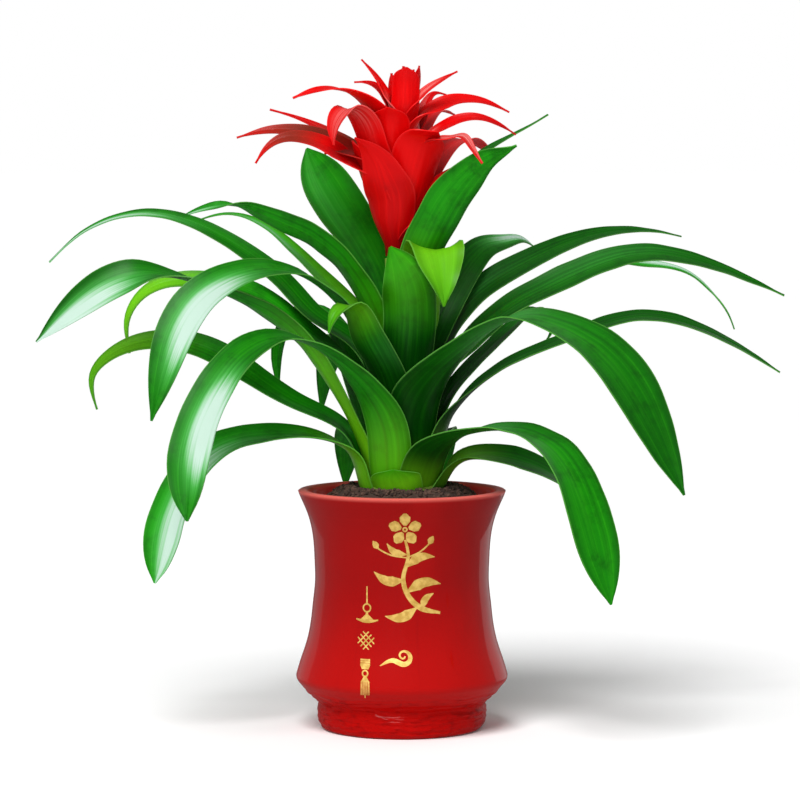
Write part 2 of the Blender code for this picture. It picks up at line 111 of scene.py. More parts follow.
@dataclass
class Growth:
    """How one kind of blade is built: its axis, widening, wrapping, thickness, grid and usual yellowing."""

    foot: tuple
    top: tuple
    sheath_length: float
    wrap: tuple
    thickness: float
    across: int
    station: float
    yellow: tuple

    def axis(self, height):
        """The point of the growth's own axis at a height."""
        low, high = Vector(self.foot), Vector(self.top)
        return low + (high - low) * ((height - low.z) / (high.z - low.z))


LEAF_GROWTH = Growth((0, 0, 0), (0, 0, 450), 90, (32, 75), 0.75, 16, 3.2, (0, 0.16, 0.8))
BRACT_GROWTH = Growth(HEAD_BOTTOM, HEAD_TOP, 32, (15, 38), 0.8, 10, 1.8, (0, 0.1, 0))

# Each blade leaves its base with this lean at most, and its grid has this many rows at least. Away from
# the axis it is a channel, whose half angle eases off from its base to its tip
MOST_LEAN = 0.6
FEWEST_ROWS = 8
CHANNEL_BEND = 0.5
CHANNEL_EASING = 0.35

# The crease along a midrib, the length of an edge's ripples, and the painted highlight, a pale sheen on a
# blade's upper side. Reaches and the sheen's middle are across the blade, whose own half width is 1
CREASE_DEPTH = 0.35
CREASE_REACH = 0.13
EDGE_RIPPLE = 17
PAINTED_SHEEN_MIDDLE = 0.45
PAINTED_SHEEN_REACH = 0.75

# Where the random draws of the leaves, the bracts and the soil's crumbs start
LEAF_SEED = 100
BRACT_SEED = 300
CRUMB_SEED = 7


@dataclass
class Blade:
    """A leaf or bract: its midrib's path beyond the base, its widths, bends and colouring.

    tone runs from 0, dark, to 1, bright, and is given for the base, the middle and the tip. The field after
    tone is the (start, end, strength) of a painted highlight, a pale sheen along the blade, and yellow the
    (middle, end, strength) of its yellowing, or its growth's where none is given.
    """

    name: str
    ring: float
    facing: float
    sheath: float
    width: float
    path: list
    heading: float = None
    turning: tuple = (0.08, 0.48)
    roll: tuple = (0, 0)
    taper: tuple = (0.5, 2.0)
    wave: float = 0.0
    tone: tuple = (0.2, 0.5, 0.5)
    bloom: tuple = (0, 1, 0)
    yellow: tuple = None


LEAVES = [
    Blade("cut_leaf_base", 0, 263, 36, 39, [
        (-5, -32, 171), (-6, -35.5, 178),
    ], heading=263, taper=(0.35, 3), tone=(0.9, 0.9, 0.9), yellow=(0, 1.4, 0.9)),
    Blade("leaf_low_left", 0, 200, 26, 29, [
        (-34, -12, 186), (-56, -18, 198), (-91, -26, 200), (-121, -32, 193), (-151, -38, 158),
        (-164, -42, 103),
    ], roll=(-25, -60), taper=(0.75, 3.5),
        tone=(0.7, 0.75, 0.8), bloom=(0.25, 1.3, 0.8), yellow=(0, 0.35, 0.7),
    ),
    Blade("leaf_low_right", 0, 345, 29, 24, [
        (41, 0, 181), (66, 10, 183), (101, 20, 171), (135, 26, 144),
    ], roll=(35, 35), tone=(0.2, 0.3, 0.35), yellow=(0.1, 0.5, 0.4)),
    Blade("leaf_back_low_right", 0, 55, 29, 28, [
        (16, 38, 184), (22, 66, 196), (26, 102, 186), (26, 124, 146),
    ], tone=(0.2, 0.45, 0.45)),
    Blade("leaf_back_low_left", 0, 125, 29, 28, [
        (-18, 38, 186), (-26, 70, 198), (-36, 106, 187), (-40, 128, 150),
    ]),
    Blade("leaf_low_front", 1, 298, 34, 35, [
        (20, -32, 188), (45, -45, 203), (71, -57, 206), (100, -78, 194), (121.5, -98, 150),
        (135, -108, 97),
    ], roll=(5, 35), taper=(0.75, 2.4),
        tone=(0.1, 0.65, 0.55), bloom=(0.12, 0.45, 0.25), yellow=(0, 0.12, 0.5),
    ),
    Blade("leaf_hooked_left", 1, 168, 32, 20, [
        (-38, 5, 200), (-69, 8, 218), (-103, 12, 239), (-133, 15, 256), (-171, 18, 261),
        (-195, 20, 253), (-210, 21, 237), (-207, 22, 214),
    ], roll=(-50, -55), taper=(0.5, 1.7), tone=(0.8, 0.6, 0.6), yellow=(0.82, 1.1, 0.6)),
    Blade("leaf_back_low", 1, 88, 32, 32, [
        (1, 40, 190), (2, 75, 212), (3, 120, 205), (4, 150, 165),
    ]),
    Blade("leaf_arched_left", 2, 251, 31, 31, [
        (-11, -35, 206), (-32, -49, 241), (-54, -58, 259), (-74, -65, 267), (-97, -77, 262),
        (-117, -90, 242), (-137, -106, 192), (-138, -116, 152),
    ], roll=(-10, -40), taper=(0.8, 3),
        tone=(0.6, 0.5, 0.5), bloom=(0.56, 1.0, 1.0), yellow=(0, 0.26, 0.4),
    ),
    Blade("leaf_long_right", 2, 341, 32, 24, [
        (30, -11, 205), (43, -6, 224), (69, 2, 244), (111, 9, 262), (160, 18, 277), (208, 22, 267),
        (257, 26, 239),
    ], roll=(10, 35), taper=(0.5, 1.6), tone=(0.05, 0.25, 0.25)),
    Blade("leaf_back_left", 2, 128, 32, 28, [
        (-18, 29, 200), (-28, 68, 248), (-42, 112, 258), (-54, 150, 232), (-58, 166, 200),
    ]),
    Blade("leaf_arched_right", 3, 292, 34, 43, [
        (7, -29, 207), (12, -34, 225), (39, -46, 257), (72, -62, 279), (99, -84, 277), (128, -98, 261),
        (162, -112, 211), (181, -118, 169),
    ], roll=(5, 40), taper=(0.7, 1.8),
        tone=(0.02, 0.6, 0.3), bloom=(0.25, 0.55, 0.3), yellow=(0, 0.1, 0.3),
    ),
    Blade("leaf_short_right", 3, 22, 22, 18, [
        (27, 12, 215), (54, 26, 250), (80, 45, 274), (95, 60, 281), (104, 66, 269), (99, 68, 257),
    ], tone=(0.2, 0.4, 0.5)),
    Blade("leaf_drooped_left", 3, 144, 24, 20, [
        (-27, 18, 212), (-36, 25, 245), (-50, 33, 276), (-66, 38, 283), (-80, 41, 270), (-84, 44, 224),
    ], roll=(-25, 50), tone=(0.6, 0.8, 0.8)),
    Blade("leaf_long_left", 4, 209, 22, 26, [
        (-31.5, -12.5, 203), (-50, -19, 238), (-71, -24, 267), (-95, -21, 284), (-122, -18, 296),
        (-175, -14, 307), (-244, -18, 262),
    ], heading=240, roll=(-20, -40), taper=(0.75, 2.2),
        tone=(0.9, 0.6, 0.3), bloom=(0.62, 1.25, 1.0), yellow=(0, 0.5, 1.0),
    ),
    Blade("leaf_back_right", 4, 88, 22, 28, [
        (4, 30, 210), (11, 70, 250), (20, 112, 260), (26, 148, 233), (27, 162, 195),
    ]),
    Blade("leaf_folded_front", 5, 257, 32, 28, [
        (-5, -26, 215), (-13, -36, 247), (-24, -43, 269), (-35, -48, 288), (-43, -54, 284),
        (-48, -57, 270),
    ], heading=240, taper=(0.6, 1.6),
        tone=(0.0, 0.12, 0.6), bloom=(0.4, 0.75, 0.12), yellow=(0.85, 1.1, 0.4),
    ),
    Blade("leaf_upper_right", 5, 350, 32, 26, [
        (24, -3.5, 215), (38, 4, 250), (69, 12, 281), (105, 22, 300), (160, 35, 319), (213, 47, 311),
        (263, 58, 290),
    ], roll=(30, 40), taper=(0.5, 1.6), tone=(0.05, 0.3, 0.3), bloom=(0.3, 0.9, 0.15)),
    Blade("leaf_back_high", 5, 105, 30, 30, [
        (-5, 23, 215), (-9, 62, 280), (-12, 115, 308), (-15, 160, 290), (-17, 185, 245),
    ]),
    Blade("leaf_shining_left", 7, 228, 28, 31, [
        (-12.5, -16.5, 215), (-24, -24, 258), (-42, -23, 287), (-67, -31, 307), (-92, -48, 311),
        (-134, -66, 292), (-156, -78, 244), (-163, -82, 214),
    ], roll=(-10, -65), taper=(0.7, 2.4), tone=(0.3, 0.6, 0.5), bloom=(0.52, 0.98, 1.0)),
    Blade("leaf_pale_right", 6, 48, 18, 13, [
        (13.4, 15.8, 215), (50, 48, 258), (90, 78, 292), (139, 100, 313), (167, 108, 311),
        (201, 110, 304), (218, 112, 290), (231, 112, 272), (234, 112, 264),
    ], roll=(35, 50), taper=(0.4, 1.5), tone=(0.6, 0.8, 0.8), bloom=(0.5, 1.1, 0.7)),
    Blade("leaf_slim_left", 6, 180, 26, 18, [
        (-23, 1, 215), (-42, 10, 250), (-69, 16, 272), (-95, 20, 291), (-137, 24, 302),
        (-171, 26, 296), (-186, 26, 277), (-185, 26, 252),
    ], roll=(-30, -60), taper=(0.55, 1.8), tone=(0.5, 0.75, 0.8), yellow=(0.85, 1.15, 0.8)),
    Blade("leaf_slim_right", 7, 40, 28, 22, [
        (15, 12, 222), (20, 18, 245), (33, 28, 272), (53, 38, 294), (81, 54, 311), (118, 76, 327),
        (153, 100, 334), (178, 114, 333), (197, 122, 329),
    ], roll=(30, 30), taper=(0.5, 1.4), tone=(0.05, 0.2, 0.3), bloom=(0.15, 0.7, 0.15)),
    Blade("leaf_front_upright", 8, 275, 30, 38, [
        (2, -19, 223), (4, -25, 256), (5, -30, 291), (0, -36, 311), (-8, -39, 326),
    ], heading=272, taper=(0.72, 2.2), wave=2.0, tone=(0.0, 0.02, 0.8), yellow=(0.85, 1.15, 0.15)),
    Blade("leaf_longest_left", 8, 170, 26, 22, [
        (-18, 3, 225), (-34, 12, 262), (-59, 18, 278), (-79, 22, 299), (-108, 28, 322),
        (-132, 34, 336), (-175, 42, 347), (-221, 50, 332), (-242, 54, 313),
    ], roll=(-35, -35), taper=(0.3, 1.2), tone=(0.3, 0.45, 0.5), bloom=(0.55, 1.25, 0.7)),
    Blade("leaf_upper_left", 9, 215, 17, 30, [
        (-12.5, -9, 235), (-17, -10, 268), (-29, -9, 298), (-45, -5, 320), (-62, 4, 333),
        (-83, 18, 342), (-107, 34, 351), (-128, 44, 352), (-154, 54, 343),
    ], heading=235, roll=(-20, -30), taper=(0.35, 1.3),
        tone=(0.45, 0.75, 0.7), bloom=(0.75, 1.25, 0.5), yellow=(0.1, 0.6, 0.3),
    ),
    Blade("leaf_curled_right", 9, 54, 21, 27, [
        (11.5, 12.5, 235), (22, 19, 272), (36, 32, 300), (46, 42, 314), (56, 54, 323), (72, 72, 327),
        (83, 84, 328), (94, 96, 321),
    ], roll=(45, 45), taper=(0.5, 1.6), tone=(0.1, 0.3, 0.4), bloom=(0.65, 1.2, 0.7)),
    Blade("leaf_flap_front", 10, 292, 26, 40, [
        (6, -13, 236), (11, -18.5, 285), (19.5, -22, 319), (22.5, -31, 324), (26, -43, 309),
        (28, -46, 287),
    ], heading=286, taper=(0.75, 1.6), wave=2.2, tone=(0.3, 0.5, 0.6), yellow=(0.6, 1.35, 0.8)),
    Blade("leaf_pale_left", 10, 132, 17, 18, [
        (-10, 10.4, 238), (-25, 24, 273), (-54, 40, 303), (-77, 50, 325), (-101, 58, 342),
        (-122, 64, 346), (-142, 68, 341),
    ], roll=(-20, -20), taper=(0.4, 1.3),
        tone=(0.6, 0.8, 0.8), bloom=(0.4, 1.1, 0.4), yellow=(0.2, 1.1, 0.5),
    ),
    Blade("leaf_upright_right", 11, 292, 20, 31, [
        (4.5, -11.5, 263), (8, -15, 303), (18, -18, 331), (34, -20, 360), (55, -22, 382),
        (76, -24, 393),
    ], heading=285, taper=(0.72, 1.9), wave=1.0, tone=(0.6, 0.45, 0.85), yellow=(0.3, 0.7, 0.75)),
    Blade("leaf_upright_left", 11, 126, 20, 37, [
        (-6.5, 9.5, 250), (-10, 13, 285), (-22, 23, 318), (-39, 32, 346), (-53, 38, 369),
        (-65, 42, 391),
    ], heading=105, turning=(0.45, 0.8), taper=(0.75, 4), tone=(0.0, 0.45, 0.9), bloom=(0.4, 1.3, 0.2)),
    Blade("leaf_upright_back", 12, 32, 14, 16, [
        (8.2, 4.3, 270), (11, 6.5, 297), (17, 17, 325), (33, 26, 363), (56, 36, 389), (81, 46, 403),
        (100, 54, 414),
    ], heading=60, taper=(0.4, 1.3), tone=(0.3, 0.35, 0.4)),
]

# Bracts: here ring is the height of the base up the head's core, and yellow's strength darkens the tip
BRACTS = [
    Blade("front_long", 2, 262, 14, 36, [
        (-8, -14, 340), (-8, -20, 356), (-12, -26, 370), (-16, -30, 381), (-23, -34, 391),
        (-31, -38, 398),
    ], heading=262, taper=(0.45, 1.5), tone=(0.35, 0.45, 0.6)),
    Blade("front_left_arch", 50, 250, 22, 24, [
        (-9, -15, 400), (-20, -20, 418), (-38, -25, 429), (-54, -29, 430), (-72, -33, 424),
    ], heading=235, turning=(0.3, 0.7), roll=(-10, -25), taper=(0.3, 1.3), tone=(0.75, 0.9, 0.7)),
    Blade("front_dome", 44, 268, 20, 28, [
        (-6, -17, 388), (-8, -21, 402), (-9, -25, 412), (-9.5, -30, 418),
    ], heading=268, taper=(0.72, 2.8), tone=(0.5, 0.8, 0.9)),
    Blade("front_right_arch", 14, 292, 24, 38, [
        (4, -14.5, 355), (8, -17.5, 371), (12, -21, 387), (17, -26, 399), (24, -31, 402),
    ], heading=292, taper=(0.7, 2.6), tone=(0.1, 0.7, 0.8)),
    Blade("right_long", 62, 318, 18, 13, [
        (16, -10, 398), (23, -10, 403), (36, -11, 409.5), (54, -10, 411), (76, -9, 400),
    ], roll=(40, 40), taper=(0.3, 1.3), tone=(0.6, 0.6, 0.3), bloom=(0.02, 0.4, 0.8)),
    Blade("right_upper_long", 70, 332, 18, 16, [
        (11, -6, 409), (22, -2, 418), (39, 3, 424), (56, 5, 422), (72, 6, 415),
    ], roll=(40, 40), taper=(0.3, 1.3), tone=(0.8, 0.8, 0.5), bloom=(0.02, 0.4, 0.5)),
    Blade("right_upper_short", 84, 315, 16, 13, [
        (11, -9, 423), (22, -11, 434), (37, -12, 442),
    ], roll=(35, 35), taper=(0.3, 1.3), tone=(0.8, 0.7, 0.5), bloom=(0.2, 0.9, 0.7)),
    Blade("left_upper_long", 84, 232, 16, 13, [
        (-10, -10, 425), (-17, -11, 438), (-27, -11, 450),
    ], roll=(-35, -35), taper=(0.3, 1.3), tone=(0.8, 0.8, 0.6), bloom=(0.1, 0.6, 0.5)),
    Blade("left_upper_short", 84, 190, 14, 11, [
        (-11, -1, 425), (-20, 0, 434), (-32, 0, 435),
    ], roll=(-35, -35), taper=(0.3, 1.3)),
    Blade("left_long", 38, 215, 22, 19, [
        (-23, -11, 382), (-45, -13, 394), (-68, -14, 402), (-89, -14, 403), (-110, -14, 398),
    ], roll=(-50, -45), taper=(0.35, 1.3), yellow=(0.6, 1.1, 0.9)),
    Blade("left_hooked", 32, 236, 20, 19, [
        (-33, -18, 381), (-58, -22, 396), (-78, -24, 398), (-89, -26, 392), (-97, -27, 381),
    ], roll=(-45, -45), taper=(0.35, 1.4), yellow=(0.75, 1.0, 0.8)),
    Blade("left_thin", 42, 160, 14, 11, [
        (-24, 8, 386), (-45, 12, 400), (-69, 15, 411), (-89, 16, 417),
    ], roll=(-35, -35), taper=(0.3, 1.3), yellow=(0.4, 0.8, 1.0)),
    Blade("left_looped", 44, 246, 20, 24, [
        (-19, -20, 390), (-28, -25, 412), (-36, -29, 417), (-44, -34, 409), (-45, -38, 393),
    ], heading=235, taper=(0.5, 1.8), tone=(0.6, 0.6, 0.5), bloom=(0.4, 1.1, 0.4)),
    Blade("right_low_strip", 3, 318, 12, 22, [
        (6, -8, 335), (16, -8, 353), (29, -7, 369), (46, -5, 382),
    ], roll=(45, 60), taper=(0.5, 1.5)),
    Blade("right_mid_curl", 48, 305, 14, 14, [
        (15, -15, 391), (22, -21, 397), (31, -25, 397.5), (40, -29, 399), (46, -32, 392),
        (53, -37, 381),
    ], roll=(10, 30), taper=(0.4, 1.4), tone=(0.6, 0.6, 0.5), bloom=(0.3, 1.1, 0.8)),
    Blade("back_right_curl", 78, 30, 14, 10, [
        (16, 14, 421), (22, 18, 428), (30, 21, 427),
    ], roll=(30, 30), taper=(0.3, 1.5)),
    Blade("top_front", 84, 268, 22, 20, [
        (2, -12.5, 420), (2.5, -11, 435), (3, -11.5, 445),
    ], heading=268, taper=(0.8, 2.2), tone=(0.5, 0.6, 0.5)),
    Blade("top_left", 92, 200, 16, 13, [
        (-6.5, -4, 427), (-7, -5, 441),
    ], heading=225, taper=(0.5, 1.6), tone=(0.5, 0.6, 0.5)),
    Blade("top_right", 92, 335, 14, 12, [
        (9, -4, 430), (11.5, -5.5, 446),
    ], heading=315, taper=(0.5, 1.6), tone=(0.5, 0.6, 0.5)),
    Blade("top_back", 98, 90, 16, 14, [(1, 9, 431), (1, 11, 446)], heading=90, taper=(0.5, 1.6)),
    Blade("back_low_right", 20, 50, 22, 24, [(18, 24, 372), (32, 44, 392), (48, 64, 396), (64, 82, 384)]),
    Blade("back_low", 26, 92, 22, 26, [(-2, 26, 378), (-4, 48, 396), (-6, 72, 398), (-8, 92, 384)]),
    Blade("back_low_left", 22, 135, 22, 24, [
        (-18, 24, 374), (-30, 44, 392), (-42, 64, 396), (-54, 82, 386),
    ]),
    Blade("back_mid_right", 54, 62, 20, 20, [
        (12, 22, 402), (24, 42, 416), (36, 60, 414),
    ], taper=(0.35, 1.5)),
    Blade("back_mid_left", 58, 118, 20, 20, [
        (-10, 22, 404), (-20, 42, 418), (-30, 60, 414),
    ], taper=(0.35, 1.5)),
    Blade("back_top", 82, 80, 16, 14, [(3, 14, 424), (6, 24, 438), (8, 34, 444)], taper=(0.35, 1.5)),
    Blade("front_low_left", 14, 228, 16, 26, [(-18, -14, 358), (-25, -19, 380), (-33, -22, 396)]),
]


class Value:
    """One node's output: arithmetic on it adds Math nodes."""

    def __init__(self, sheet, socket):
        self.sheet = sheet
        self.socket = socket

    def maths(self, operation, first, second):
        return self.sheet.add("ShaderNodeMath", {"operation": operation}, {0: first, 1: second})

    def __add__(self, other):
        return self.maths("ADD", self, other)

    def __sub__(self, other):
        return self.maths("SUBTRACT", self, other)

    def __rsub__(self, other):
        return self.maths("SUBTRACT", other, self)

    def __mul__(self, other):
        return self.maths("MULTIPLY", self, other)

    def __pow__(self, other):
        return self.maths("POWER", self, other)

    def __abs__(self):
        return self.maths("ABSOLUTE", self, 0)

    __radd__ = __add__
    __rmul__ = __mul__

    def rise(self, start, end):
        """0 below start, 1 above end and smooth between them."""
        return self.sheet.add(
            "ShaderNodeMapRange",
            {"interpolation_type": "SMOOTHSTEP"},
            {"Value": self, "From Min": start, "From Max": end},
        )


class Sheet:
    """The nodes of a material, or of the world, built on its one surface node."""

    def __init__(self, owner, surface="Principled BSDF", **constants):
        owner.use_nodes = True
        self.owner = owner
        self.tree = owner.node_tree
        self.surface = self.tree.nodes[surface]
        self.finish(**constants)

    def fill(self, socket, value):
        if isinstance(value, Value):
            self.tree.links.new(value.socket, socket)
        elif isinstance(value, tuple) and len(value) == 3 and len(socket.default_value) == 4:
            socket.default_value = (*value, 1)
        else:
            socket.default_value = value

    def add(self, kind, settings, inputs, output=0):
        """A node with its settings and sockets filled, as the Value of one of its outputs."""
        node = self.tree.nodes.new(kind)
        for key, value in settings.items():
            setattr(node, key, value)
        for key, value in inputs.items():
            self.fill(node.inputs[key], value)
        return Value(self, node.outputs[output])

    def attribute(self, name):
        return self.add("ShaderNodeAttribute", {"attribute_name": name}, {}, "Fac")

    def object_place(self):
        return self.add("ShaderNodeTexCoord", {}, {}, "Object")

    def split(self, vector):
        return [self.add("ShaderNodeSeparateXYZ", {}, {0: vector}, axis) for axis in "XYZ"]

    def join(self, x, y, z):
        return self.add("ShaderNodeCombineXYZ", {}, {0: x, 1: y, 2: z})

    def noise(self, vector, scale, detail=2, roughness=0.5):
        inputs = {"Vector": vector, "Scale": scale, "Detail": detail, "Roughness": roughness}
        return self.add("ShaderNodeTexNoise", {}, inputs)

    def mix(self, base, over, factor):
        """Colour over on base by factor."""
        return self.add("ShaderNodeMix", {"data_type": "RGBA"}, {0: factor, 6: base, 7: over}, 2)

    def bump(self, height, strength, distance, under=None):
        inputs = {"Strength": strength, "Distance": distance, "Height": height}
        if under:
            inputs["Normal"] = under
        return self.add("ShaderNodeBump", {}, inputs)

    def finish(self, **links):
        for socket, value in links.items():
            self.fill(self.surface.inputs[socket.replace("_", " ")], value)
        return self.owner


def finish_sheet(name, **constants):
    return Sheet(bpy.data.materials.new(name), **constants)


def leaf_finish():
    """Green with strands and veins; dark towards its edges; painted shade in pleated bands, a partly
    painted highlight on the rim and a painted pale sheen where it droops.
    """
    sheet = finish_sheet("leaf_green", Coat_Roughness=0.3, Specular_IOR_Level=0.1)
    across, along, _ = sheet.split(sheet.add("ShaderNodeUVMap", {"uv_map": "blade"}, {}))
    place = sheet.object_place()
    tone = sheet.attribute("tone")
    side = abs(across * 2 - 1)
    strands = sheet.noise(sheet.join(across * 13, along * 1.3, 0), 1, 3, 0.6)
    veins = sheet.noise(sheet.join(across * 60, along * 1.2, 3), 1, 2)
    pleat_shade = sheet.noise(sheet.join(across * 5, along * 0.5, 7), 1, 1)
    mottle = sheet.noise(place, 70, 4, 0.65)
    colour = sheet.mix((0.0006, 0.036, 0.0006), (0.008, 0.26, 0.002), tone.rise(0, 1))
    colour = sheet.mix(colour, (0.035, 0.4, 0.006), strands.rise(0.42, 0.74) * (tone * 0.55 + 0.05))
    colour = sheet.mix(colour, (0.001, 0.03, 0.001), mottle.rise(0.45, 0.75) * 0.5)
    # Painted shade: darker bands along the leaf where it is pleated
    colour = sheet.mix(colour, (0.001, 0.03, 0.001), pleat_shade.rise(0.5, 0.68) * 0.5)
    colour = sheet.mix(colour, (0.03, 0.3, 0.01), veins.rise(0.5, 0.8) * (tone * 0.3 + 0.04))
    colour = sheet.mix(colour, (0.2, 0.6, 0.008), sheet.attribute("yellow") * (0.6 + strands * 0.5))
    colour = sheet.mix(colour, (0.001, 0.045, 0.001), side.rise(0.5, 0.95) * 0.35)
    # Pale rim: partly the leaf's own pale margin, partly a painted rim highlight
    colour = sheet.mix(colour, (0.2, 0.6, 0.1), side.rise(0.94, 1) * 0.3)
    # Painted highlight: a sheen, first paler green and then near white, where the blade droops
    bloom = sheet.attribute("bloom") * (0.6 + strands.rise(0.3, 0.7) * 0.4)
    colour = sheet.mix(colour, (0.06, 0.37, 0.06), bloom.rise(0, 0.4))
    colour = sheet.mix(colour, (0.43, 0.58, 0.49), bloom.rise(0.2, 0.62))
    rough = 0.32 + veins * 0.12 + mottle * 0.08
    relief = sheet.bump(veins * 0.5 + strands, 0.2, 0.0005)
    return sheet.finish(Base_Color=colour, Roughness=rough, Coat_Weight=0.03 + veins * 0.06, Normal=relief)


def bract_finish():
    """Scarlet, with strands and veins along the bract, darker at its base, lighter on the rim and with a
    painted pinkish highlight on some bracts.
    """
    sheet = finish_sheet("bract_scarlet", Coat_Roughness=0.22, Specular_IOR_Level=0.07)
    across, along, _ = sheet.split(sheet.add("ShaderNodeUVMap", {"uv_map": "blade"}, {}))
    tone = sheet.attribute("tone")
    side = abs(across * 2 - 1)
    strands = sheet.noise(sheet.join(across * 12, along * 1.2, 0), 1, 3, 0.6)
    veins = sheet.noise(sheet.join(across * 60, along * 1.5, 3), 1, 2)
    mottle = sheet.noise(sheet.object_place(), 60, 3)
    colour = sheet.mix((0.33, 0.0008, 0.002), (0.7, 0.0006, 0.001), tone.rise(0, 0.9))
    colour = sheet.mix(colour, (0.8, 0.004, 0.004), strands.rise(0.45, 0.75) * 0.5)
    colour = sheet.mix(colour, (0.3, 0.001, 0.003), mottle.rise(0.55, 0.85) * 0.4)
    colour = sheet.mix(colour, (0.25, 0.001, 0.004), (1 - along).rise(0.75, 1) * 0.5)
    colour = sheet.mix(colour, (0.09, 0.025, 0.012), sheet.attribute("yellow") * 0.9)
    colour = sheet.mix(colour, (0.8, 0.03, 0.03), side.rise(0.9, 1) * 0.3)
    # Painted highlight: a pale pink sheen along the bracts given one
    colour = sheet.mix(colour, (0.85, 0.45, 0.42), sheet.attribute("bloom") * strands.rise(0.35, 0.7))
    relief = sheet.bump(veins * 0.5 + strands, 0.25, 0.0004)
    return sheet.finish(Base_Color=colour, Roughness=0.34 + veins * 0.12, Coat_Weight=0.06, Normal=relief)


def stem_finish():
    """Pale green with upright fibres."""
    sheet = finish_sheet("pale_stem", Roughness=0.5)
    x, y, z = sheet.split(sheet.object_place())
    fibres = sheet.noise(sheet.join(x * 400, y * 400, z * 14), 1, 2)
    colour = sheet.mix((0.08, 0.28, 0.015), (0.36, 0.48, 0.07), fibres)
    return sheet.finish(Base_Color=colour, Normal=sheet.bump(fibres, 0.4, 0.0005))


def glaze_finish():
    """Deep red with painted shade and light: darker up the body, bright inside the pot, a painted highlight
    on the lip, and painted shade in the grooves of the low waves near the foot, where the coat is thinner.
    """
    sheet = finish_sheet("red_glaze", Coat_Roughness=0.06, Coat_IOR=1.5, Specular_IOR_Level=0.02)
    place = sheet.object_place()
    x, y, z = sheet.split(place)
    around = sheet.add("ShaderNodeMath", {"operation": "ARCTAN2"}, {0: x, 1: y})
    pooled = sheet.noise(sheet.join(x * 16, y * 16, z * 7), 1, 3)
    speckle = sheet.noise(place, 900, 2)
    curtain = sheet.noise(sheet.join(around * 9, z * 6, 0), 1, 3)
    # Painted shade and light: darker up the body, brighter low down where it faces up
    colour = sheet.mix((0.25, 0.001, 0.001), (0.37, 0.0015, 0.001), z.rise(0.11, 0.03))
    colour = sheet.mix(colour, (0.42, 0.003, 0.002), pooled.rise(0.45, 0.75) * 0.35)
    colour = sheet.mix(colour, (0.2, 0.001, 0.002), speckle.rise(0.62, 0.78) * 0.25)
    colour = sheet.mix(colour, (0.22, 0.001, 0.002), curtain.rise(0.55, 0.8) * 0.3)
    # Painted light: the inner wall painted bright red, as if lit inside the pot
    inside = z.rise(0.146, 0.15) * (1 - ((x * x + y * y) ** 0.5).rise(0.0625, 0.0645))
    colour = sheet.mix(colour, (0.95, 0.04, 0.03), inside)
    # Painted highlight: a pale pinkish band along the lip
    lip = z.rise(0.1585, 0.1622)
    colour = sheet.mix(colour, (0.88, 0.17, 0.14), lip * 0.75)
    waves = sheet.noise(sheet.join(around * 7, z * 300, 0), 1, 3)
    lumps = sheet.noise(place, 55, 2)
    worked = 1 - z.rise(0.02, 0.034)
    # Painted shade: the ripples' grooves near the foot painted darker
    colour = sheet.mix(colour, (0.2, 0.001, 0.001), waves.rise(0.5, 0.7) * worked * 0.6)
    relief = sheet.bump(waves * worked, 1, 0.0016, sheet.bump(lumps, 0.15, 0.002))
    rough = 0.42 + speckle * 0.1
    glossy = 0.42 - worked * 0.3 - inside * 0.3 - lip * 0.3
    return sheet.finish(Base_Color=colour, Roughness=rough, Coat_Weight=glossy, Normal=relief)


def gold_finish():
    """Brushed gold, more paint than metal."""
    sheet = finish_sheet("gold_ornament")
    place = sheet.object_place()
    brushed = sheet.noise(place, 260, 3)
    grain = sheet.noise(place, 1800, 2)
    colour = sheet.mix((0.56, 0.33, 0.06), (0.8, 0.54, 0.14), brushed.rise(0.35, 0.65))
    colour = sheet.mix(colour, (0.36, 0.19, 0.03), grain.rise(0.6, 0.8) * 0.4)
    return sheet.finish(
        Base_Color=colour, Metallic=0.25 + brushed * 0.2, Roughness=0.36 + grain * 0.14,
        Normal=sheet.bump(grain, 0.2, 0.0002),
    )


def soil_finish():
    """Dark brown, its tone set by each crumb."""
    sheet = finish_sheet("potting_soil")
    place = sheet.object_place()
    clods = sheet.noise(place, 320, 4, 0.6)
    dust = sheet.noise(place, 1500, 3)
    tone = sheet.attribute("tone")
    colour = sheet.mix((0.022, 0.011, 0.008), (0.1, 0.052, 0.036), tone)
    colour = sheet.mix(colour, (0.17, 0.095, 0.065), clods.rise(0.5, 0.75) * 0.5)
    colour = sheet.mix(colour, (0.01, 0.006, 0.004), dust.rise(0.55, 0.75) * 0.5)
    relief = sheet.bump(dust + clods, 0.6, 0.0006)
    return sheet.finish(Base_Color=colour, Roughness=0.85 + dust * 0.12, Normal=relief)


def floor_finish():
    """Matt near white that shines nowhere."""
    sheet = finish_sheet("pale_floor", Roughness=0.9, Specular_IOR_Level=0)
    return sheet.finish(Base_Color=(0.97, 0.97, 0.97))


def compass(facing):
    """The level unit vector towards a facing in degrees."""
    return Vector((cos(radians(facing)), sin(radians(facing)), 0))


def ease(x):
    """0 to 1 with level ends."""
    x = min(max(x, 0), 1)
    return x * x * (3 - 2 * x)


def hump(x, start, end):
    """Rises from 0 at start to 1 halfway to end and falls back to 0 there."""
    if not start < x < end:
        return 0
    return sin(pi * (x - start) / (end - start)) ** 2


